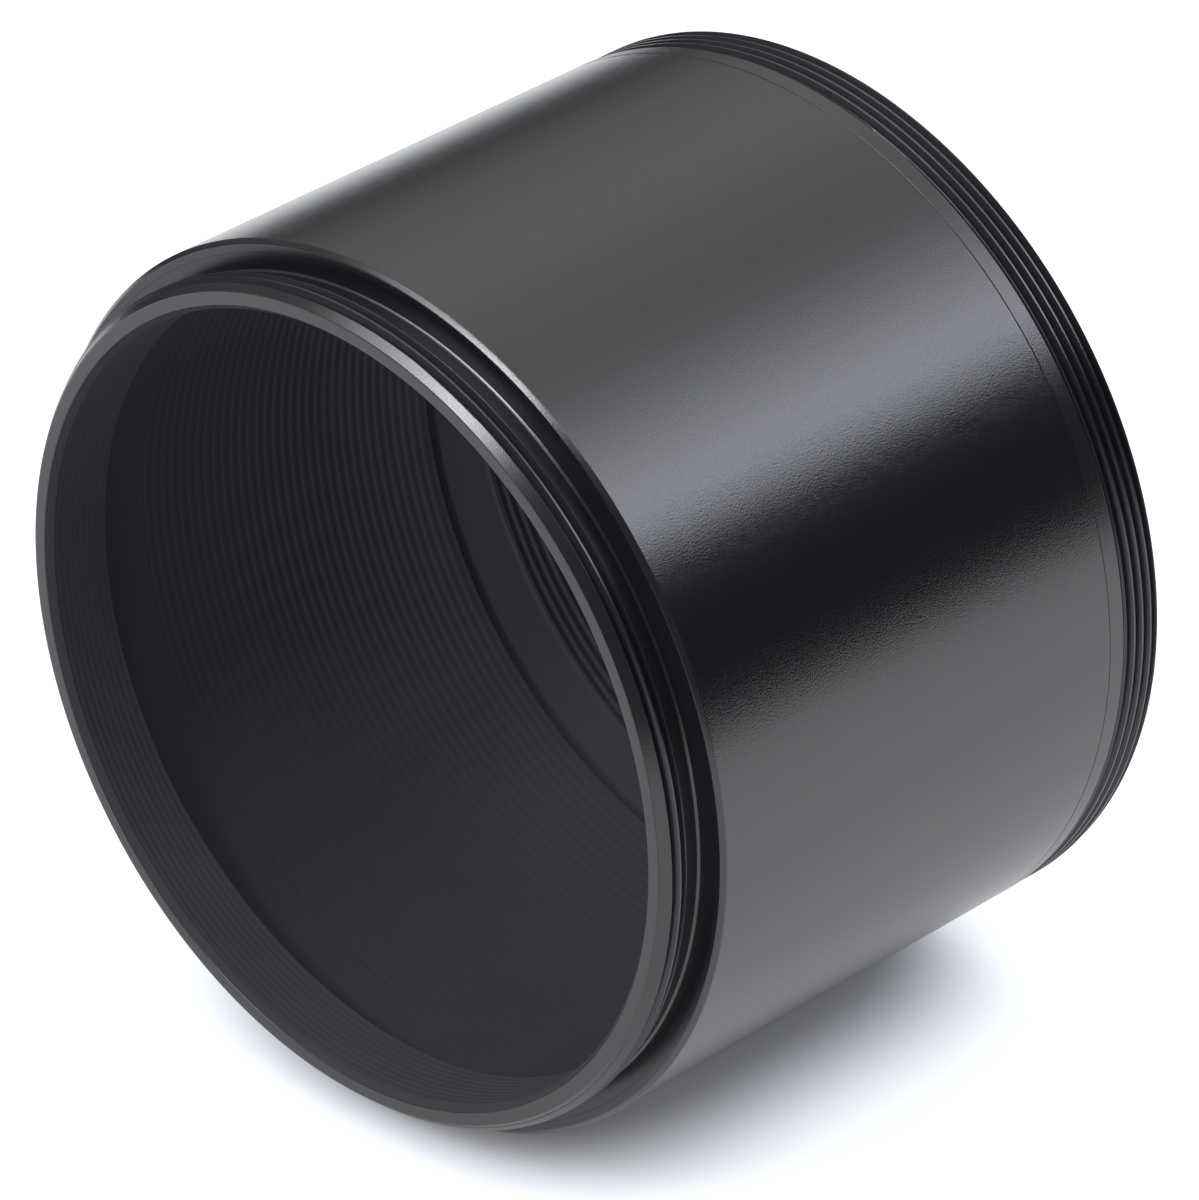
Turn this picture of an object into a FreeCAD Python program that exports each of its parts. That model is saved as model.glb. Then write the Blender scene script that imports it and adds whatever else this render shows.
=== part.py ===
import FreeCAD, Part
import os
import Sketcher

# Telescope extension tube: a straight barrel with a threaded end ring let into each end.
# The optical axis runs along +Y, from the nose to the rear socket. The tube lies on its
# side with +Z up, and its origin is on the axis, half way along. Lengths are millimetres.

# Driving sizes: alias, value, what it is.
SIZES = [
    # Radial sizes, worked inwards from the outside of the barrel
    ("outer_diameter", 79.0, "outside of the barrel and of the rear ring's flange"),
    ("skin_wall", 1.08, "barrel wall that is left around a ring's spigot"),
    ("joint_gap", 0.02, "radial bonding gap between a spigot and its seat"),
    ("spigot_wall", 1.25, "from a spigot's outside to the barrel's bore"),
    ("lip_height", 2.15, "step from the barrel's bore down to the clear aperture"),
    ("nose_wall", 2.5, "from the clear aperture up to the nose thread's crest"),
    ("nose_relief_depth", 0.75, "relief groove behind the nose thread, below its crest"),
    ("thread_pitch", 1.0, "pitch of all three mounting threads"),
    ("socket_relief_depth", 0.1, "socket's inner groove, beyond the nose thread's crest"),
    ("socket_step", 0.15, "step from the female thread down to the rear ring's smooth bore"),
    ("rear_thread_setback", 0.05, "rear thread's crest below the outside of the barrel"),
    ("rear_relief_depth", 0.65, "groove before the rear thread, below its crest"),
    # Lengths, worked backwards from the nose rim
    ("nose_length", 4.5, "rim of the nose to the shoulder"),
    ("nose_relief_width", 1.7, "relief groove in front of the shoulder"),
    ("web_thickness", 1.9, "shoulder to the step behind the clear aperture"),
    ("front_band_length", 6.4, "smooth bore behind that step, to the spigot's end"),
    ("barrel_length", 45.8, "shoulder to the seam at the rear ring"),
    ("rear_spigot_length", 4.0, "rear ring's spigot, in front of the seam"),
    ("spigot_end_gap", 0.1, "free length beyond the rear spigot's end"),
    ("flange_width", 1.7, "rear ring's flange, seam to thread groove"),
    ("rear_relief_width", 0.55, "groove between the flange and the rear thread"),
    ("rear_thread_length", 3.75, "rear thread, groove to the rear face"),
    ("socket_depth", 5.0, "rear face to the inner end of the female thread's groove"),
    ("socket_relief_width", 0.8, "groove at the inner end of the female thread"),
    # Edges
    ("rim_chamfer_width", 1.0, "nose's outer lead, across the rim"),
    ("rim_chamfer_length", 1.0, "nose's outer lead, along the axis"),
    ("aperture_lead_width", 0.55, "nose's inner lead, across the rim"),
    ("aperture_lead_length", 0.65, "nose's inner lead, along the axis"),
    ("root_chamfer", 0.2, "inside corner at the root of the shoulder"),
    ("barrel_chamfer", 0.4, "front outer edge of the barrel"),
    ("spigot_chamfer", 0.3, "leading edge of each spigot"),
    ("flange_chamfer", 0.3, "rear outer edge of the flange"),
    ("thread_end_chamfer", 0.15, "end of the rear thread"),
    ("socket_mouth_chamfer", 0.55, "mouth of the rear socket"),
    # Light-trap ridges in the bore of the nose
    ("ridge_pitch", 0.65, "spacing of the fine ridges"),
    ("ridge_depth", 0.3, "depth of the groove between two ridges"),
]

# Height of an internal 60 degree thread per millimetre of pitch
THREAD_HEIGHT_PER_PITCH = 0.541266

# Radii, as formulas on the sheet
OUTER = "(Sizes.outer_diameter / 2)"
SEAT = f"({OUTER} - Sizes.skin_wall)"
SPIGOT = f"({SEAT} - Sizes.joint_gap)"
BORE = f"({SPIGOT} - Sizes.spigot_wall)"
CLEAR = f"({BORE} - Sizes.lip_height)"
NOSE_CREST = f"({CLEAR} + Sizes.nose_wall)"
NOSE_ROOT = f"({NOSE_CREST} - Sizes.nose_relief_depth)"
SOCKET = f"({NOSE_CREST} - {THREAD_HEIGHT_PER_PITCH} * Sizes.thread_pitch)"
SOCKET_ROOT = f"({NOSE_CREST} + Sizes.socket_relief_depth)"
REAR_BORE = f"({SOCKET} - Sizes.socket_step)"
REAR_CREST = f"({OUTER} - Sizes.rear_thread_setback)"
REAR_ROOT = f"({REAR_CREST} - Sizes.rear_relief_depth)"
RIM_OUTSIDE = f"({NOSE_CREST} - Sizes.rim_chamfer_width)"
RIM_INSIDE = f"({CLEAR} + Sizes.aperture_lead_width)"

# Places along the axis, from the nose rim
RIM = "0"
SHOULDER = "Sizes.nose_length"
NOSE_RELIEF = f"({SHOULDER} - Sizes.nose_relief_width)"
STEP = f"({SHOULDER} + Sizes.web_thickness)"
FRONT_SPIGOT_END = f"({STEP} + Sizes.front_band_length)"
SEAM = f"({SHOULDER} + Sizes.barrel_length)"
REAR_SPIGOT_END = f"({SEAM} - Sizes.rear_spigot_length)"
REAR_SEAT_END = f"({REAR_SPIGOT_END} - Sizes.spigot_end_gap)"
FLANGE_END = f"({SEAM} + Sizes.flange_width)"
REAR_THREAD = f"({FLANGE_END} + Sizes.rear_relief_width)"
REAR_FACE = f"({REAR_THREAD} + Sizes.rear_thread_length)"
SOCKET_END = f"({REAR_FACE} - Sizes.socket_depth)"
FEMALE_THREAD = f"({SOCKET_END} + Sizes.socket_relief_width)"

# Largest difference at which two edges count as the same
EDGE_MATCH = 1e-6

doc = FreeCAD.newDocument("extension_tube")


def make_sheet():
    """Writes the driving sizes to the sheet, one alias a row."""
    sheet = doc.addObject("Spreadsheet::Sheet", "Sizes")
    for row, (alias, value, meaning) in enumerate(SIZES, start=1):
        sheet.set(f"A{row}", alias)
        sheet.set(f"B{row}", str(value))
        sheet.set(f"C{row}", meaning)
        sheet.setAlias(f"B{row}", alias)
    doc.recompute()
    return sheet


sheet = make_sheet()


def make_body(label):
    """A turned piece, placed so that the origin is half way along the whole tube."""
    body = doc.addObject("PartDesign::Body", label)
    body.Label = label
    body.setExpression("Placement.Base.y", f"-{REAR_FACE} / 2")
    return body


def profile(body, name, corners):
    """A closed outline in the plane of the axis, each corner (place along, radius)."""
    plane = next(item for item in body.Origin.OriginFeatures if item.Role == "YZ_Plane")
    sketch = body.newObject("Sketcher::SketchObject", name)
    sketch.AttachmentSupport = (plane, [""])
    sketch.MapMode = "FlatFace"
    points = [FreeCAD.Vector(sheet.evalExpression(along), sheet.evalExpression(radius), 0)
              for along, radius in corners]
    last = len(points) - 1
    for number, start in enumerate(points):
        end = points[0] if number == last else points[number + 1]
        sketch.addGeometry(Part.LineSegment(start, end))
    for number in range(len(points)):
        following = 0 if number == last else number + 1
        sketch.addConstraint(Sketcher.Constraint("Coincident", number, 2, following, 1))
    for number, (along, radius) in enumerate(corners):
        before = corners[number - 1] if number else (None, None)
        if along == before[0]:
            sketch.addConstraint(Sketcher.Constraint("Vertical", number - 1))
        elif along == RIM:
            sketch.addConstraint(Sketcher.Constraint("PointOnObject", number, 1, -2))
        else:
            bind(sketch, "DistanceX", number, points[number].x, along)
        if radius == before[1]:
            sketch.addConstraint(Sketcher.Constraint("Horizontal", number - 1))
        else:
            bind(sketch, "DistanceY", number, points[number].y, radius)
    return sketch


def bind(sketch, kind, corner, value, formula):
    """Holds one corner at a distance from the origin that follows the sheet."""
    index = sketch.addConstraint(Sketcher.Constraint(kind, -1, 1, corner, 1, value))
    sketch.setExpression(f"Constraints[{index}]", formula)


def turn(body, kind, name, corners):
    """Turns an outline round the optical axis: a Revolution adds, a Groove cuts."""
    before = body.Tip.Shape.Volume if body.Tip else 0
    sketch = profile(body, f"{name}_outline", corners)
    feature = body.newObject(f"PartDesign::{kind}", name)
    feature.Profile = sketch
    feature.ReferenceAxis = (sketch, ["H_Axis"])
    feature.Angle = 360
    doc.recompute()
    change = feature.Shape.Volume - before
    if (change > 0) != (kind == "Revolution"):
        raise ValueError(f"{name} changes the volume by {change:.3f}")
    return feature


def box_corners(front, back, inside, outside):
    """Corners of a plain rectangle between two places and two radii."""
    return [(front, inside), (back, inside), (back, outside), (front, outside)]


def chamfer(body, name, size, along, radius):
    """Bevels the round edge at one place along the axis and one radius."""
    base = body.Tip
    place = sheet.evalExpression(along)
    wanted = sheet.evalExpression(radius)
    names = []
    for number, edge in enumerate(base.Shape.Edges, start=1):
        circle = edge.Curve
        if not isinstance(circle, Part.Circle):
            continue
        if abs(circle.Center.y - place) < EDGE_MATCH and abs(circle.Radius - wanted) < EDGE_MATCH:
            names.append(f"Edge{number}")
    if not names:
        raise ValueError(f"{name} finds no edge")
    feature = body.newObject("PartDesign::Chamfer", name)
    feature.Base = (base, names)
    feature.setExpression("Size", f"Sizes.{size}")
    doc.recompute()
    return feature


def make_barrel():
    """Plain tube with a seat bored in each end for a ring's spigot."""
    body = make_body("barrel")
    turn(body, "Revolution", "tube", box_corners(SHOULDER, SEAM, BORE, OUTER))
    turn(body, "Groove", "front_seat", box_corners(SHOULDER, FRONT_SPIGOT_END, CLEAR, SEAT))
    turn(body, "Groove", "rear_seat", box_corners(REAR_SEAT_END, SEAM, CLEAR, SEAT))
    chamfer(body, "front_edge", "barrel_chamfer", SHOULDER, OUTER)
    return body


def make_nose_ring():
    """Front ring: male thread, relief, ridged clear aperture, and a spigot behind."""
    body = make_body("nose_ring")
    turn(body, "Revolution", "nose_blank", [
        (RIM, RIM_INSIDE),
        (RIM, RIM_OUTSIDE),
        ("Sizes.rim_chamfer_length", NOSE_CREST),
        (SHOULDER, NOSE_CREST),
        (SHOULDER, SPIGOT),
        (FRONT_SPIGOT_END, SPIGOT),
        (FRONT_SPIGOT_END, CLEAR),
        ("Sizes.aperture_lead_length", CLEAR),
    ])
    turn(body, "Groove", "nose_relief", box_corners(NOSE_RELIEF, SHOULDER, NOSE_ROOT, OUTER))
    turn(body, "Groove", "smooth_band", box_corners(STEP, FRONT_SPIGOT_END, f"{CLEAR} / 2", BORE))
    chamfer(body, "shoulder_root", "root_chamfer", SHOULDER, NOSE_ROOT)
    chamfer(body, "front_spigot_lead", "spigot_chamfer", FRONT_SPIGOT_END, SPIGOT)
    cut_ridges(body)
    return body


def cut_ridges(body):
    """Light-trap ridges: one V groove, repeated along the clear aperture."""
    start = "Sizes.aperture_lead_length"
    groove = turn(body, "Groove", "ridge_groove", [
        (start, CLEAR),
        (f"{start} + Sizes.ridge_pitch", CLEAR),
        (f"{start} + Sizes.ridge_pitch / 2", f"{CLEAR} + Sizes.ridge_depth"),
    ])
    pattern = body.newObject("PartDesign::LinearPattern", "ridge_row")
    pattern.Originals = [groove]
    pattern.Direction = (groove.Profile[0], ["H_Axis"])
    pattern.Mode = "Spacing"
    count = f"floor(({STEP} - {start}) / Sizes.ridge_pitch)"
    pattern.setExpression("Offset", "Sizes.ridge_pitch")
    pattern.setExpression("Occurrences", count)
    body.Tip = pattern
    doc.recompute()


def make_rear_ring():
    """Rear ring: spigot, flange flush with the barrel, thread outside, socket inside."""
    body = make_body("rear_ring")
    turn(body, "Revolution", "ring_blank", [
        (REAR_SPIGOT_END, REAR_BORE),
        (REAR_SPIGOT_END, SPIGOT),
        (SEAM, SPIGOT),
        (SEAM, OUTER),
        (FLANGE_END, OUTER),
        (FLANGE_END, REAR_CREST),
        (REAR_FACE, REAR_CREST),
        (REAR_FACE, REAR_BORE),
    ])
    turn(body, "Groove", "thread_relief", box_corners(FLANGE_END, REAR_THREAD, REAR_ROOT, OUTER))
    turn(body, "Groove", "socket", box_corners(SOCKET_END, REAR_FACE, CLEAR, SOCKET))
    turn(body, "Groove", "socket_relief", box_corners(SOCKET_END, FEMALE_THREAD, CLEAR, SOCKET_ROOT))
    chamfer(body, "flange_edge", "flange_chamfer", FLANGE_END, OUTER)
    chamfer(body, "rear_spigot_lead", "spigot_chamfer", REAR_SPIGOT_END, SPIGOT)
    chamfer(body, "thread_end", "thread_end_chamfer", REAR_FACE, REAR_CREST)
    chamfer(body, "socket_mouth", "socket_mouth_chamfer", REAR_FACE, SOCKET)
    return body


def check(bodies):
    """Stops before anything is written if a feature failed or a solid is unsound."""
    doc.recompute()
    for item in doc.Objects:
        if "Invalid" in item.State or "Error" in item.State:
            raise ValueError(f"{item.Label} failed")
    for body in bodies:
        shape = body.Shape
        if shape.isNull() or not shape.isValid() or len(shape.Solids) != 1:
            raise ValueError(f"{body.Label} is not one sound solid")


bodies = [make_barrel(), make_nose_ring(), make_rear_ring()]
check(bodies)
os.makedirs("parts", exist_ok=True)
for body in bodies:
    body.Shape.exportStep(os.path.join("parts", f"{body.Label}.step"))
    bounds = body.Shape.BoundBox
    print(f"{body.Label}: {body.Shape.Volume:.1f} mm3, y {bounds.YMin:.2f} to {bounds.YMax:.2f}")
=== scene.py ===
"""Telescope extension tube: three turned rings with real threads, in black anodised aluminium."""
import functools
import math

import bmesh
import bpy
import numpy as np
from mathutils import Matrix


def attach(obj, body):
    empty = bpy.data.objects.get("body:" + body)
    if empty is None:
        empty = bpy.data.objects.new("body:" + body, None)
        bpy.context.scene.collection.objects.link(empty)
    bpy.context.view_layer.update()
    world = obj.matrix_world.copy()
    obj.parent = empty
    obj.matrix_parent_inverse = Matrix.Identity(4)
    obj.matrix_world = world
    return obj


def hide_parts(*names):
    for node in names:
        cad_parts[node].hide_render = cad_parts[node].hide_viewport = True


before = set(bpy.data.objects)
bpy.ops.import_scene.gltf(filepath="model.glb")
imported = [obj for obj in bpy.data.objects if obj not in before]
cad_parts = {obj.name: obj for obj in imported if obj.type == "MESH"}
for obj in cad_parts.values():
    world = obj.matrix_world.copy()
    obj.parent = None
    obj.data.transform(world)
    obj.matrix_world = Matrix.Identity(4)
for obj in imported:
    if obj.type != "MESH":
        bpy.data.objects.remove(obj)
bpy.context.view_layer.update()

# Lengths are millimetres here and become metres when a mesh is made. The optical axis is +Y.
MM = 0.001

# Steps round the axis. The barrel has fewer, because its ridges take many points along it.
SEGMENTS = 320
BARREL_SEGMENTS = 272

ROUND_STEPS = 4
SHARP_ANGLE = math.radians(32)
MERGE_DISTANCE = 1e-7

# Radial distance at which a point of a thread counts as lying on its crest
CREST_MATCH = 0.004

# Places along the axis
RIM = -28.15
SHOULDER = -23.65
STEP = -21.75
FRONT_SPIGOT_END = -15.35
REAR_SEAT_END = 18.05
REAR_SPIGOT_END = 18.15
SEAM = 22.15
SOCKET_END = 23.15
FLANGE_END = 23.85
REAR_THREAD = 24.40
REAR_FACE = 28.15

# Radii
OUTER = 39.50
SEAT = 38.42
SPIGOT = 38.40
BORE = 37.15
CLEAR = 35.00
NOSE_CREST = 37.50
NOSE_RELIEF = 36.75
SOCKET = 36.96
REAR_BORE = 36.81
REAR_CREST = 39.45
REAR_RELIEF = 38.80

# Edges
RIM_LEAD = 0.94
APERTURE_LEAD_WIDTH = 0.55
APERTURE_LEAD_LENGTH = 0.65
SHOULDER_ROOT = 0.20
BARREL_EDGE = 0.38
SPIGOT_EDGE = 0.30
FLANGE_EDGE = 0.10
REAR_EDGE = 0.15
SOCKET_MOUTH = 0.55

# Open line between the barrel and the rear ring, on each side of its middle
SEAM_GAP = 0.018
SEAM_ROUNDING = 0.07

# Threads and ridges
PITCH = 1.0
FINE_PITCH = 0.65
NOSE_DEPTH = 0.60
REAR_DEPTH = 0.60
FEMALE_DEPTH = 0.27
BARREL_RIDGE_DEPTH = 0.085
NOSE_RIDGE_DEPTH = 0.08

# Places of one crest, each at its own angle round the axis in degrees
NOSE_START = (RIM + 0.57, 42.9)
REAR_START = (RIM + 53.25, 46.5)
FEMALE_START = (26.0, 46.5)
BARREL_START = (0.0, 46.5)
RIDGE_START = (0.0, 0.0)

# Finish of a stretch of the outline, as the number of its material. Number 2 is painted light, a
# lighter copy of the anodise on thread grooves, reliefs and shoulder faces. Special is the edge of the
# barrel and the smooth band of the nose ring.
OUTSIDE = 0
INSIDE = 1
THREAD = 2
SPECIAL = 3

# How far beyond its crests a face next to a ridged run stops
RIDGE_MARGIN = 0.2

# Grain is finer along the axis by this factor, because only tilts round the axis show
GRAIN_SQUEEZE = 1.3

# Floor in metres. The shadow is a painted shadow: a soft oval where the floor's glow is lower, whose
# edge is given in shares of its half size, and its glow inside and outside that edge. The sheet is a
# soft disc.
FLOOR_HALF = 6.0
SHADOW_HALF_WIDTH = 0.0261
SHADOW_HALF_LENGTH = 0.0296
SHADOW_MIDDLE = 0.0025
SHADOW_EDGE = (0.66, 1.27)
SHADOW_GLOW = (0.10, 0.89)
SHEET_MIDDLE = (0.08, 0.05)
SHEET_EDGE = (0.45, 0.54)

# Painted reflection: glow of the sheet that only reflections see, as two places in metres, then the
# glow at each of them. The first range holds beside the tube, on both sides, and paints slight shade
# close to it; the second holds along X, and paints light far towards -X.
BESIDE_GLOW = (0.034, 0.100, 0.68, 0.74)
FAR_GLOW = (-0.28, -0.11, 1.5, 1)

# Colours of the floor and backdrop: paper as it lights the tube, in reflections and to the camera,
# the floor beyond it, the paper's glow and the backdrop. The camera's paper is bluish and shows only
# where the glow is low, so it paints a blue tint into the shadow. The dark floor beyond the sheet is
# seen only in reflections and bounce light, where it paints a dark band into the tube's side.
WHITE_PAPER = (0.88, 0.89, 0.90, 1)
MIRRORED_PAPER = (0.40, 0.41, 0.42, 1)
SHADOW_TINTED_PAPER = (0.345, 0.388, 0.47, 1)
DARK_FLOOR = (0.05, 0.05, 0.055, 1)
PAPER_GLOW = (0.965, 0.985, 1.01, 1)
WHITE_BACKDROP = (0.96, 0.98, 1.0, 1)

# Lights by direction. A range in degrees lists where a light begins, is full, starts to fade and
# ends. Around is the angle round the tube's axis from +X through the zenith, side is the angle
# from straight ahead of the nose towards +X, and height is the angle above the floor.
PANEL_COLOUR = (2.50, 2.62, 2.88)
PANEL_AROUND = (40.6, 42.2, 42.5, 92)
CEILING_COLOUR = (0.56, 0.56, 0.56)
CEILING_AROUND = (52, 98, 105, 191)
FRONT_COLOUR = (1.00, 1.03, 1.08)
FRONT_HEIGHT = (34, 38, 47, 54)
FRONT_SIDE_END = (-3, 4)
SPOT_COLOUR = (2.20, 2.20, 2.20)
SPOT_SIDE = (-5, 5, 24, 40)
SPOT_HEIGHT = (44, 49, 58, 66)
ZENITH_COLOUR = (1.40, 1.40, 1.40)
ZENITH_RISE = (0.86, 0.97)
WALL_COLOUR = (0.20, 0.20, 0.20)
WALL_END = (-0.5, -0.1)
WALL_HEIGHT = (-5, 25)
ROOM_BEFORE = (0.14, 0.13, 0.15)
ROOM_BEHIND = (0.058, 0.058, 0.068)
BEHIND_RISE = (0.05, 0.35)

# The front light rises in two steps towards +X, each with its range in degrees and its level
FRONT_STEPS = ((-66, -30, 3.9), (-38, -6, 8.0))

# Camera, with its angles in degrees and its place in metres
LENS = 265.555
SENSOR_WIDTH = 36
AZIMUTH = 44.7258
ELEVATION = 30.9601
CAMERA_PLACE = (0.44777, -0.44983, 0.37958)


def corner(y, r, rounding=0.05, finish=OUTSIDE):
    """One corner of an outline. The finish holds from here to the next corner."""
    return {"y": y, "r": r, "rounding": rounding, "finish": finish}


def thread(start, end, pitch, crest, tooth, limit=None, inner=False, finish=OUTSIDE, lead_end=None):
    """A right-handed helical run of teeth, with one crest at a given place and angle.

    The tooth lists (share of the pitch, radius), with its crest at a share of one half.
    An outer thread keeps the outside finish on its crests, and on the lead before lead_end.
    """
    return {"start": start, "end": end, "pitch": pitch, "crest": crest, "tooth": tooth,
            "limit": limit, "inner": inner, "finish": finish, "lead_end": lead_end}


def end_points(item):
    """First and last (y, r) of an outline item, which give its neighbours their direction."""
    if "y" in item:
        return (item["y"], item["r"]), (item["y"], item["r"])
    radius = item["tooth"][0][1]
    return (item["start"], radius), (item["end"], radius)


def rounded(before, item, after):
    """Points of one corner, rounded by a short curve between its two sides."""
    at = np.array((item["y"], item["r"]))
    if item["rounding"] == 0:
        return at[None, :]
    sides = []
    for other in (before, after):
        away = np.array(other) - at
        length = np.linalg.norm(away)
        sides.append(at + away / length * min(item["rounding"], 0.45 * length))
    s = np.linspace(0, 1, ROUND_STEPS + 1)[:, None]
    return (1 - s) ** 2 * sides[0] + 2 * s * (1 - s) * at + s ** 2 * sides[1]


def helix_points(item, turn):
    """Places and radii of a helical run, one row for each step of the turn in degrees."""
    low, high = sorted((item["start"], item["end"]))
    pitch = item["pitch"]
    place, angle = item["crest"]
    shares = np.array([share for share, radius in item["tooth"]])
    radii = np.array([radius for share, radius in item["tooth"]])
    origin = place + pitch * (angle / 360 - 0.5)
    origin -= pitch * math.ceil((origin - (low - pitch)) / pitch)
    turns = math.ceil((high - origin) / pitch)
    lattice = (np.arange(turns)[:, None] + shares[None, :]).ravel()
    base = origin + pitch * turn[:, None] / 360
    y = np.clip(base + pitch * lattice[None, :], low, high)
    r = np.interp(((y - base) / pitch) % 1, shares, radii, period=1)
    if item["limit"]:
        limit = item["limit"](y)
        r = np.maximum(r, limit) if item["inner"] else np.minimum(r, limit)
    if item["start"] > item["end"]:
        y, r = y[:, ::-1], r[:, ::-1]
    return y, r


def helix_finish(item, y, r):
    """Finish of each quad of a helical run, by the column where it starts."""
    finish = np.full(y.shape, item["finish"])
    if item["lead_end"] is not None:
        crest = max(radius for share, radius in item["tooth"])
        on_crest = r > crest - CREST_MATCH
        on_lead = (y < item["lead_end"]) & (r > item["limit"](y) - CREST_MATCH)
        outside = on_crest | on_lead
        outside[:, :-1] &= outside[:, 1:]
        finish[outside] = OUTSIDE
    return finish


def outline_points(outline, turn):
    """Places, radii and finishes of a whole outline, one row for each step of the turn."""
    places, radii, finish = [], [], []
    for number, item in enumerate(outline):
        if "y" in item:
            before = end_points(outline[number - 1])[1]
            after = end_points(outline[(number + 1) % len(outline)])[0]
            points = rounded(before, item, after)
            y = np.repeat(points[None, :, 0], len(turn), axis=0)
            r = np.repeat(points[None, :, 1], len(turn), axis=0)
            finish.append(np.full(y.shape, item["finish"]))
        else:
            y, r = helix_points(item, turn)
            finish.append(helix_finish(item, y, r))
        places.append(y)
        radii.append(r)
    return np.concatenate(places, axis=1), np.concatenate(radii, axis=1), np.concatenate(finish, axis=1)


def lathe(name, outline, materials, segments=SEGMENTS):
    """A closed mesh turned round the axis from a closed outline of corners and threads."""
    turn = np.linspace(0, 360, segments + 1)
    y, r, finish = outline_points(outline, turn)
    angle = -np.radians(turn)[:, None]
    points = np.stack((r * np.cos(angle), y, r * np.sin(angle)), axis=-1) * MM
    index = np.arange(y.size).reshape(y.shape)
    following = np.roll(index, -1, axis=1)
    quads = np.stack((index[:-1], index[1:], following[1:], following[:-1]), axis=-1)
    mesh = bpy.data.meshes.new(name)
    mesh.from_pydata(points.reshape(-1, 3).tolist(), [], quads.reshape(-1, 4).tolist())
    for material in materials:
        mesh.materials.append(material)
    mesh.polygons.foreach_set("material_index", finish[:-1].ravel())
    clean(mesh)
    mesh.shade_smooth()
    mesh.set_sharp_from_angle(angle=SHARP_ANGLE)
    piece = bpy.data.objects.new(name, mesh)
    flats = piece.modifiers.new("flats", "WEIGHTED_NORMAL")
    flats.keep_sharp = True
    bpy.context.scene.collection.objects.link(piece)
    return piece


def clean(mesh):
    """Joins the points that coincide, and turns every face outwards."""
    work = bmesh.new()
    work.from_mesh(mesh)
    bmesh.ops.remove_doubles(work, verts=work.verts, dist=MERGE_DISTANCE)
    bmesh.ops.recalc_face_normals(work, faces=work.faces)
    work.to_mesh(mesh)
    work.free()


def tooth(crest, root, crest_share, root_share, edge=0.03, steps=1):
    """One V tooth with flat crest and root, slightly rounded crest edges and flanks in steps."""
    lower = root_share / 2
    upper = 0.5 - crest_share / 2
    side = (crest - root) / (upper - lower)
    drop = side * edge
    shares = np.linspace(lower, upper - edge, steps + 1)
    flank = [(share, root + side * (share - lower)) for share in shares]
    half = [(0.0, root), *flank, (upper - edge * 0.3, crest - drop * 0.42),
            (upper + edge * 0.4, crest - drop * 0.06), (0.5, crest)]
    return half + [(1 - share, radius) for share, radius in reversed(half[1:-1])]


def limit_line(*points):
    """A limit on the radius that depends on the place along the axis, from (y, r) points."""
    places, radii = zip(*points)
    return lambda y: np.interp(y, places, radii)


# Node materials

class Tree:
    """Adds nodes to a node tree. A value is a number, a colour or another node's output."""

    def __init__(self, tree):
        self.tree = tree

    def put(self, value, socket):
        """Links an output to the socket, or sets the socket itself."""
        if isinstance(value, bpy.types.NodeSocket):
            self.tree.links.new(value, socket)
        else:
            socket.default_value = value

    def add(self, kind, inputs=None, **settings):
        """A new node with its settings and inputs."""
        node = self.tree.nodes.new(kind)
        for name, value in settings.items():
            setattr(node, name, value)
        for name, value in (inputs or {}).items():
            self.put(value, node.inputs[name])
        return node

    def maths(self, operation, *values):
        node = self.add("ShaderNodeMath", operation=operation)
        for value, socket in zip(values, node.inputs):
            self.put(value, socket)
        return node.outputs[0]

    def vector_maths(self, operation, inputs):
        return self.add("ShaderNodeVectorMath", inputs, operation=operation).outputs[0]

    def product(self, *values):
        return functools.reduce(lambda first, second: self.maths("MULTIPLY", first, second), values)

    def length(self, first, second):
        """Distance from the origin of a point in a plane."""
        squares = [self.product(value, value) for value in (first, second)]
        return self.maths("SQRT", self.maths("ADD", *squares))

    def ramp(self, value, low, high, first=0, last=1):
        """The first level below low and the last above high, smooth in between."""
        inputs = {"Value": value, "From Min": low, "From Max": high, "To Min": first, "To Max": last}
        return self.add("ShaderNodeMapRange", inputs, interpolation_type="SMOOTHSTEP").outputs["Result"]

    def band(self, value, low, rise, fall, high):
        """0 outside low to high and 1 from rise to fall."""
        return self.product(self.ramp(value, low, rise), self.ramp(value, fall, high, 1, 0))

    def mixed(self, factor, first, second):
        """A colour between two others."""
        inputs = {"Factor": factor, "A": first, "B": second}
        return self.add("ShaderNodeMix", inputs, data_type="RGBA").outputs["Result"]

    def axes(self, vector):
        """The three numbers of a vector."""
        return self.add("ShaderNodeSeparateXYZ", {"Vector": vector}).outputs


def new_material(name):
    """An empty node material, its tree, its shader and the piece's own coordinates."""
    material = bpy.data.materials.new(name)
    material.use_nodes = True
    tree = Tree(material.node_tree)
    shader = material.node_tree.nodes["Principled BSDF"]
    coordinates = tree.add("ShaderNodeTexCoord").outputs["Object"]
    return material, tree, shader, coordinates


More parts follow.
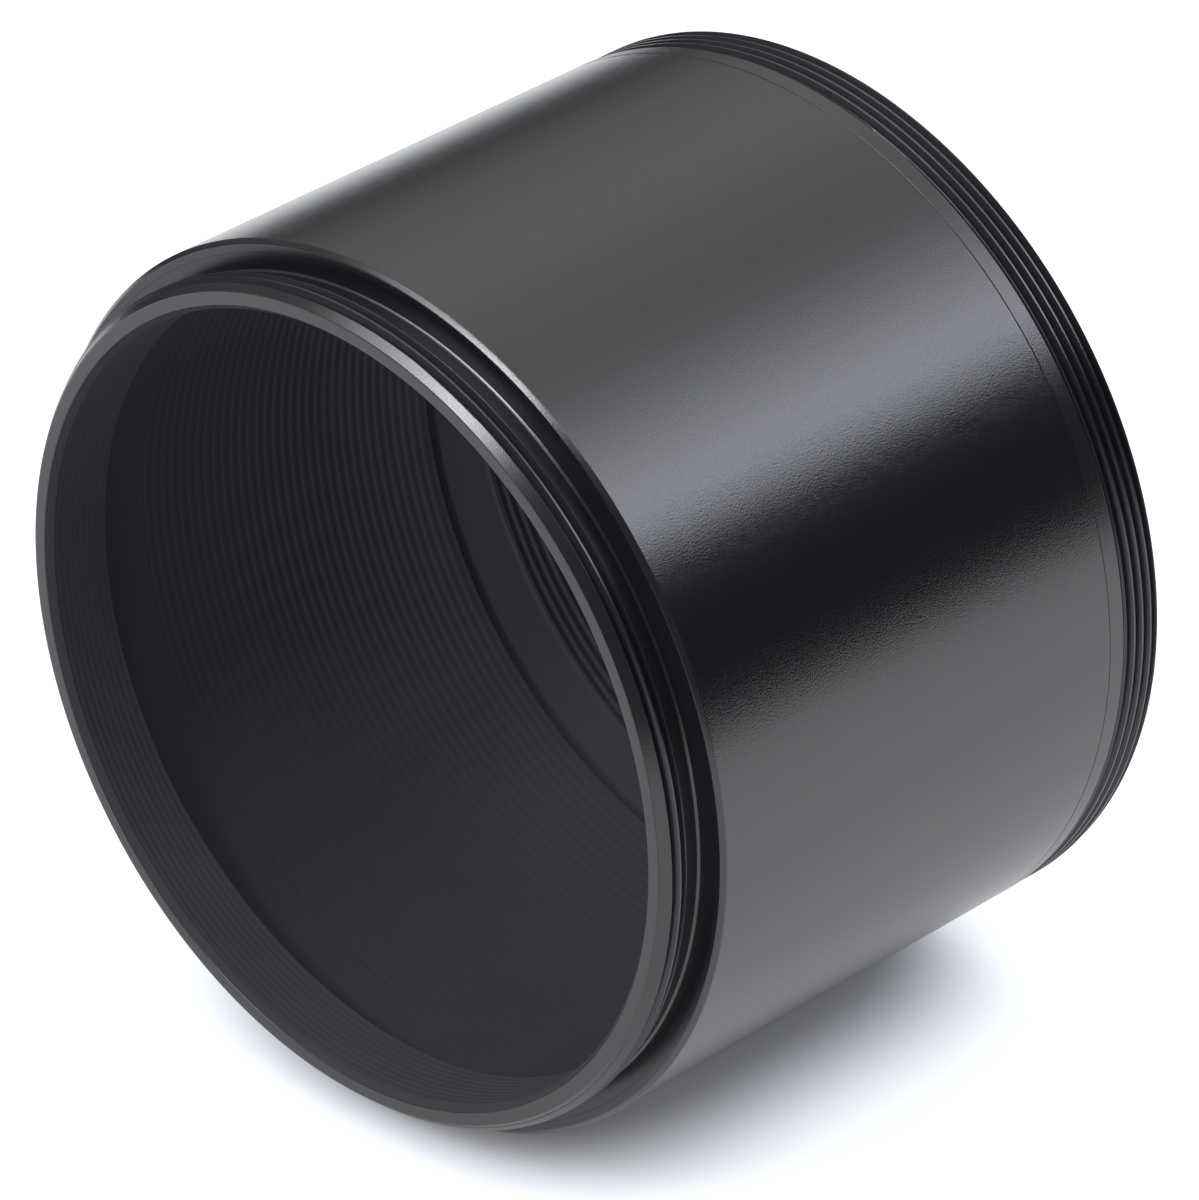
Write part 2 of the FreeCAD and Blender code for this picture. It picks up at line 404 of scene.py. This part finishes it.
def anodised(name, dark, light, roughness, spread, ior, grain, grain_size, tint=(1, 1, 1)):
    """Black anodised aluminium: fine blasted grain, faint cloudiness and uneven gloss.

    The colours dark and light are the two ends of the cloudiness, the roughness varies by its
    spread either way, and grain is the depth of the bumps and grain_size their size, in mm.
    """
    material, tree, shader, coordinates = new_material(name)
    squeezed = tree.vector_maths("MULTIPLY", {0: coordinates, 1: (1, GRAIN_SQUEEZE, 1)})
    fine = 1 / (grain_size * MM)
    speckle = tree.add("ShaderNodeTexNoise", {"Vector": squeezed, "Scale": fine, "Detail": 2})
    cloud = tree.add("ShaderNodeTexNoise", {"Vector": coordinates, "Scale": 90, "Detail": 4})
    colour = tree.mixed(cloud.outputs["Fac"], (*dark, 1), (*light, 1))
    gloss = tree.add("ShaderNodeMapRange", {"Value": speckle.outputs["Fac"], "To Min": roughness - spread,
                                            "To Max": roughness + spread})
    bump = tree.add("ShaderNodeBump", {"Height": speckle.outputs["Fac"], "Strength": 1,
                                       "Distance": grain * MM})
    tree.put(colour, shader.inputs["Base Color"])
    tree.put(gloss.outputs["Result"], shader.inputs["Roughness"])
    tree.put(bump.outputs["Normal"], shader.inputs["Normal"])
    tree.put(ior, shader.inputs["IOR"])
    tree.put((*tint, 1), shader.inputs["Specular Tint"])
    return material


# Finishes of the anodised metal. Two are lighter copies that paint light, on the threads and in the nose's
# bore.

barrel_skin = anodised("barrel_anodise", dark=(0.0040, 0.0038, 0.0058), light=(0.0056, 0.0053, 0.0075),
                       roughness=0.162, spread=0.03, ior=1.92, grain=0.020, grain_size=0.148)
ring_skin = anodised("nose_anodise", dark=(0.0070, 0.0063, 0.0082), light=(0.0088, 0.0080, 0.0102),
                     roughness=0.21, spread=0.03, ior=1.78, grain=0.010, grain_size=0.13)
rear_skin = anodised("rear_anodise", dark=(0.0048, 0.0044, 0.0062), light=(0.0062, 0.0057, 0.0076),
                     roughness=0.21, spread=0.03, ior=1.92, grain=0.018, grain_size=0.14)
# Painted light: a lighter, more matt copy of the anodise on thread grooves, reliefs and shoulder faces,
# which lifts these shaded recesses
recess_painted_light_skin = anodised("recess_painted_light_anodise", dark=(0.0136, 0.0121, 0.0148), light=(0.0162, 0.0145, 0.0174),
                       roughness=0.26, spread=0.03, ior=1.65, grain=0.006, grain_size=0.12,
                       tint=(1.0, 0.93, 1.0))
bore_skin = anodised("bore_anodise", dark=(0.0455, 0.0413, 0.0508), light=(0.0534, 0.0490, 0.0590),
                     roughness=0.80, spread=0.04, ior=1.30, grain=0.004, grain_size=0.20)
# Painted light: a lighter copy of the bore anodise for the nose ring's bore, so it reads brighter than the
# barrel's. Its smooth band keeps the plain bore anodise.
nose_bore_painted_light_skin = anodised("nose_bore_painted_light_anodise", dark=(0.0594, 0.0545, 0.0671), light=(0.0682, 0.0633, 0.0770),
                          roughness=0.80, spread=0.04, ior=1.30, grain=0.004, grain_size=0.20)


# Pieces

def make_barrel():
    """Plain tube, seated at both ends, with the light-trap ridges in its bore."""
    ridge = tooth(BORE, BORE + BARREL_RIDGE_DEPTH, 0.24, 0.24, edge=0.08)
    rear_end = SEAM - SEAM_GAP
    return lathe("barrel_body", [
        corner(SHOULDER, SEAT, 0, THREAD),
        corner(SHOULDER, OUTER - BARREL_EDGE, 0.06, SPECIAL),
        corner(SHOULDER + BARREL_EDGE, OUTER, 0.05),
        corner(rear_end, OUTER, SEAM_ROUNDING),
        corner(rear_end, SEAT, 0),
        corner(REAR_SEAT_END, SEAT, 0, INSIDE),
        corner(REAR_SEAT_END, BORE + RIDGE_MARGIN, 0, INSIDE),
        thread(REAR_SEAT_END, FRONT_SPIGOT_END, PITCH, BARREL_START, ridge, inner=True, finish=INSIDE),
        corner(FRONT_SPIGOT_END, SEAT, 0, INSIDE),
    ], (barrel_skin, bore_skin, recess_painted_light_skin, ring_skin), BARREL_SEGMENTS)


def make_nose_ring():
    """Front ring: threaded nose, relief, shoulder, spigot, step and ridged clear aperture."""
    teeth = tooth(NOSE_CREST, NOSE_CREST - NOSE_DEPTH, 0.18, 0.16, edge=0.014, steps=8)
    ridge = tooth(CLEAR, CLEAR + NOSE_RIDGE_DEPTH, 0.24, 0.24, edge=0.08)
    lead_end = RIM + RIM_LEAD
    limit = limit_line((RIM, NOSE_CREST - RIM_LEAD), (lead_end, NOSE_CREST), (RIM + 2.45, NOSE_CREST),
                       (RIM + 2.90, NOSE_RELIEF), (SHOULDER, NOSE_RELIEF))
    return lathe("nose_ring_body", [
        corner(RIM, CLEAR + APERTURE_LEAD_WIDTH, 0.06),
        corner(RIM, NOSE_CREST - RIM_LEAD, 0.12),
        thread(RIM + 0.09, RIM + 3.00, PITCH, NOSE_START, teeth, limit, finish=THREAD, lead_end=lead_end),
        corner(SHOULDER - SHOULDER_ROOT, NOSE_RELIEF, 0.10),
        corner(SHOULDER, NOSE_RELIEF + SHOULDER_ROOT, 0.05, THREAD),
        corner(SHOULDER, SPIGOT, 0),
        corner(FRONT_SPIGOT_END - SPIGOT_EDGE, SPIGOT, 0, INSIDE),
        corner(FRONT_SPIGOT_END, SPIGOT - SPIGOT_EDGE, 0, INSIDE),
        corner(FRONT_SPIGOT_END, BORE, 0.08, SPECIAL),
        corner(STEP, BORE, 0.12, INSIDE),
        corner(STEP, CLEAR + RIDGE_MARGIN, 0, INSIDE),
        thread(STEP, RIM + APERTURE_LEAD_LENGTH + 0.01, FINE_PITCH, RIDGE_START, ridge,
               inner=True, finish=INSIDE),
        corner(RIM + APERTURE_LEAD_LENGTH, CLEAR, 0.04, INSIDE),
    ], (ring_skin, nose_bore_painted_light_skin, recess_painted_light_skin, bore_skin))


def make_rear_ring():
    """Rear ring: spigot, flush flange, groove, male thread outside and female thread inside."""
    teeth = tooth(REAR_CREST, REAR_CREST - REAR_DEPTH, 0.18, 0.16, edge=0.014, steps=8)
    female_teeth = tooth(SOCKET, SOCKET + FEMALE_DEPTH, 0.26, 0.22, edge=0.08, steps=4)
    front_end = REAR_SEAT_END + 0.01
    flange_start = SEAM + SEAM_GAP
    thread_end = REAR_FACE - 0.04
    limit = limit_line((FLANGE_END + 0.05, REAR_RELIEF + 0.05), (FLANGE_END + 0.20, REAR_CREST - 0.15),
                       (REAR_THREAD + 0.10, REAR_CREST), (REAR_FACE - REAR_EDGE, REAR_CREST),
                       (REAR_FACE, REAR_CREST - REAR_EDGE))
    mouth = limit_line((REAR_FACE - SOCKET_MOUTH, SOCKET), (REAR_FACE, SOCKET + SOCKET_MOUTH))
    return lathe("rear_ring_body", [
        corner(front_end + 0.44, REAR_BORE, 0.20, INSIDE),
        corner(front_end, BORE + 0.04, 0.02, INSIDE),
        corner(front_end, SPIGOT - SPIGOT_EDGE, 0, INSIDE),
        corner(REAR_SPIGOT_END + SPIGOT_EDGE, SPIGOT, 0),
        corner(flange_start, SPIGOT, 0),
        corner(flange_start, OUTER, SEAM_ROUNDING),
        corner(FLANGE_END - FLANGE_EDGE, OUTER, 0.05),
        corner(FLANGE_END, OUTER - FLANGE_EDGE, 0.03),
        corner(FLANGE_END, REAR_RELIEF, 0.08),
        thread(FLANGE_END + 0.10, thread_end, PITCH, REAR_START, teeth, limit, finish=THREAD,
               lead_end=FLANGE_END),
        corner(REAR_FACE, REAR_CREST - REAR_EDGE, 0.03),
        corner(REAR_FACE, SOCKET + SOCKET_MOUTH + 0.05, 0.04),
        thread(thread_end, SOCKET_END + 0.75, PITCH, FEMALE_START, female_teeth, mouth,
               inner=True, finish=INSIDE),
        corner(SOCKET_END + 0.60, SOCKET + 0.24, 0.15, INSIDE),
        corner(SOCKET_END, REAR_BORE, 0.20, INSIDE),
    ], (rear_skin, bore_skin, recess_painted_light_skin))


for piece, node in ((make_barrel(), "barrel"), (make_nose_ring(), "nose_ring"),
                    (make_rear_ring(), "rear_ring")):
    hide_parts(node)
    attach(piece, "root")


# Floor

def make_floor():
    """A white sheet that the tube lies on. It keeps the tube's shadow, and a painted shadow darkens a soft
    oval under it.
    """
    half, height = FLOOR_HALF, -OUTER * MM
    corners = [(-half, -half, height), (half, -half, height), (half, half, height), (-half, half, height)]
    mesh = bpy.data.meshes.new("floor")
    mesh.from_pydata(corners, [], [(0, 1, 2, 3)])
    material, tree, shader, coordinates = new_material("floor")
    path = tree.add("ShaderNodeLightPath").outputs
    camera = path["Is Camera Ray"]
    mirrored = tree.maths("ADD", path["Is Glossy Ray"], path["Is Transmission Ray"])
    x, y, z = tree.axes(coordinates)

    # Painted shadow: the glow is lower inside a soft oval under the tube
    across = tree.maths("DIVIDE", x, SHADOW_HALF_WIDTH)
    along = tree.maths("DIVIDE", tree.maths("SUBTRACT", y, SHADOW_MIDDLE), SHADOW_HALF_LENGTH)
    clear = tree.ramp(tree.length(across, tree.product(along, along)), *SHADOW_EDGE, *SHADOW_GLOW)

    # Painted reflection: reflections see the glow only on the sheet, with painted shade beside the tube
    # and painted light far towards -X
    offsets = [tree.maths("SUBTRACT", value, middle) for value, middle in zip((x, y), SHEET_MIDDLE)]
    sheet = tree.ramp(tree.length(*offsets), *SHEET_EDGE, 1, 0)
    beside = tree.ramp(tree.maths("ABSOLUTE", x), *BESIDE_GLOW)
    painted_reflection_glow = tree.product(mirrored, beside, sheet, tree.ramp(x, *FAR_GLOW))

    # Seen or mirrored paper is darker, because it glows too; the seen paper's bluish colour paints a
    # blue tint into the shadow. Beyond the sheet the floor is dark, except to the camera; this dark floor
    # is a painted dark reflection in the tube's side.
    paper = tree.mixed(mirrored, WHITE_PAPER, MIRRORED_PAPER)
    paper = tree.mixed(camera, paper, SHADOW_TINTED_PAPER)
    kept = tree.maths("MAXIMUM", sheet, camera)
    tree.put(tree.mixed(kept, DARK_FLOOR, paper), shader.inputs["Base Color"])
    tree.put(PAPER_GLOW, shader.inputs["Emission Color"])
    # The painted shadow dims the glow that the camera and reflections see under the tube
    glow = tree.product(tree.maths("ADD", camera, painted_reflection_glow), clear)
    tree.put(glow, shader.inputs["Emission Strength"])
    tree.put(0.9, shader.inputs["Roughness"])
    tree.put(0, shader.inputs["Specular IOR Level"])
    mesh.materials.append(material)
    floor = bpy.data.objects.new("floor", mesh)
    bpy.context.scene.collection.objects.link(floor)


make_floor()


# Light

def make_world():
    """A dim studio whose light changes softly with direction, and which the camera sees as white."""
    world = bpy.data.worlds.new("studio")
    bpy.context.scene.world = world
    world.use_nodes = True
    tree = Tree(world.node_tree)
    x, y, z = tree.axes(tree.add("ShaderNodeTexCoord").outputs["Generated"])

    def degrees(angle):
        return tree.maths("DIVIDE", angle, math.pi / 180)

    around = degrees(tree.maths("ARCTAN2", z, x))
    side = degrees(tree.maths("ARCTAN2", x, tree.maths("MULTIPLY", y, -1)))
    height = degrees(tree.maths("ARCSINE", z))
    behind = tree.ramp(y, *BEHIND_RISE)
    before = tree.maths("SUBTRACT", 1, behind)
    steps = [tree.product(tree.ramp(side, low, high), level) for low, high, level in FRONT_STEPS]
    lights = (
        # Soft panel behind the tube, towards +X
        (PANEL_COLOUR, tree.product(tree.band(around, *PANEL_AROUND), behind)),
        # Broad ceiling behind the tube
        (CEILING_COLOUR, tree.product(tree.band(around, *CEILING_AROUND), behind)),
        # Soft panel high in front of the nose, towards -X
        (FRONT_COLOUR, tree.product(tree.ramp(side, *FRONT_SIDE_END, 1, 0), tree.maths("ADD", *steps),
                                    tree.band(height, *FRONT_HEIGHT), before)),
        # Small panel higher up in front of the nose, towards +X
        (SPOT_COLOUR, tree.product(tree.band(side, *SPOT_SIDE), tree.band(height, *SPOT_HEIGHT), before)),
        # Straight above
        (ZENITH_COLOUR, tree.ramp(z, *ZENITH_RISE)),
        # Wall on the -X side
        (WALL_COLOUR, tree.product(tree.ramp(x, *WALL_END, 1, 0), tree.ramp(height, *WALL_HEIGHT))),
        # Faint light of the room, in front and behind
        (ROOM_BEFORE, before),
        (ROOM_BEHIND, behind),
    )
    light = functools.reduce(
        lambda first, second: tree.vector_maths("ADD", {0: first, 1: second}),
        [tree.vector_maths("SCALE", {0: colour, "Scale": level}) for colour, level in lights])
    camera = tree.add("ShaderNodeLightPath").outputs["Is Camera Ray"]
    background = world.node_tree.nodes["Background"]
    tree.put(tree.mixed(camera, light, WHITE_BACKDROP), background.inputs["Color"])
    tree.put(1, background.inputs["Strength"])


make_world()


# Camera

def make_camera():
    """The photograph's point of view."""
    data = bpy.data.cameras.new("camera")
    data.lens = LENS
    data.sensor_width = SENSOR_WIDTH
    data.clip_start = 0.01
    data.clip_end = 100
    camera = bpy.data.objects.new("camera", data)
    camera.location = CAMERA_PLACE
    camera.rotation_euler = (math.pi / 2 - math.radians(ELEVATION), 0, math.radians(AZIMUTH))
    bpy.context.scene.collection.objects.link(camera)
    bpy.context.scene.camera = camera


make_camera()
bpy.context.scene.view_settings.view_transform = "Standard"
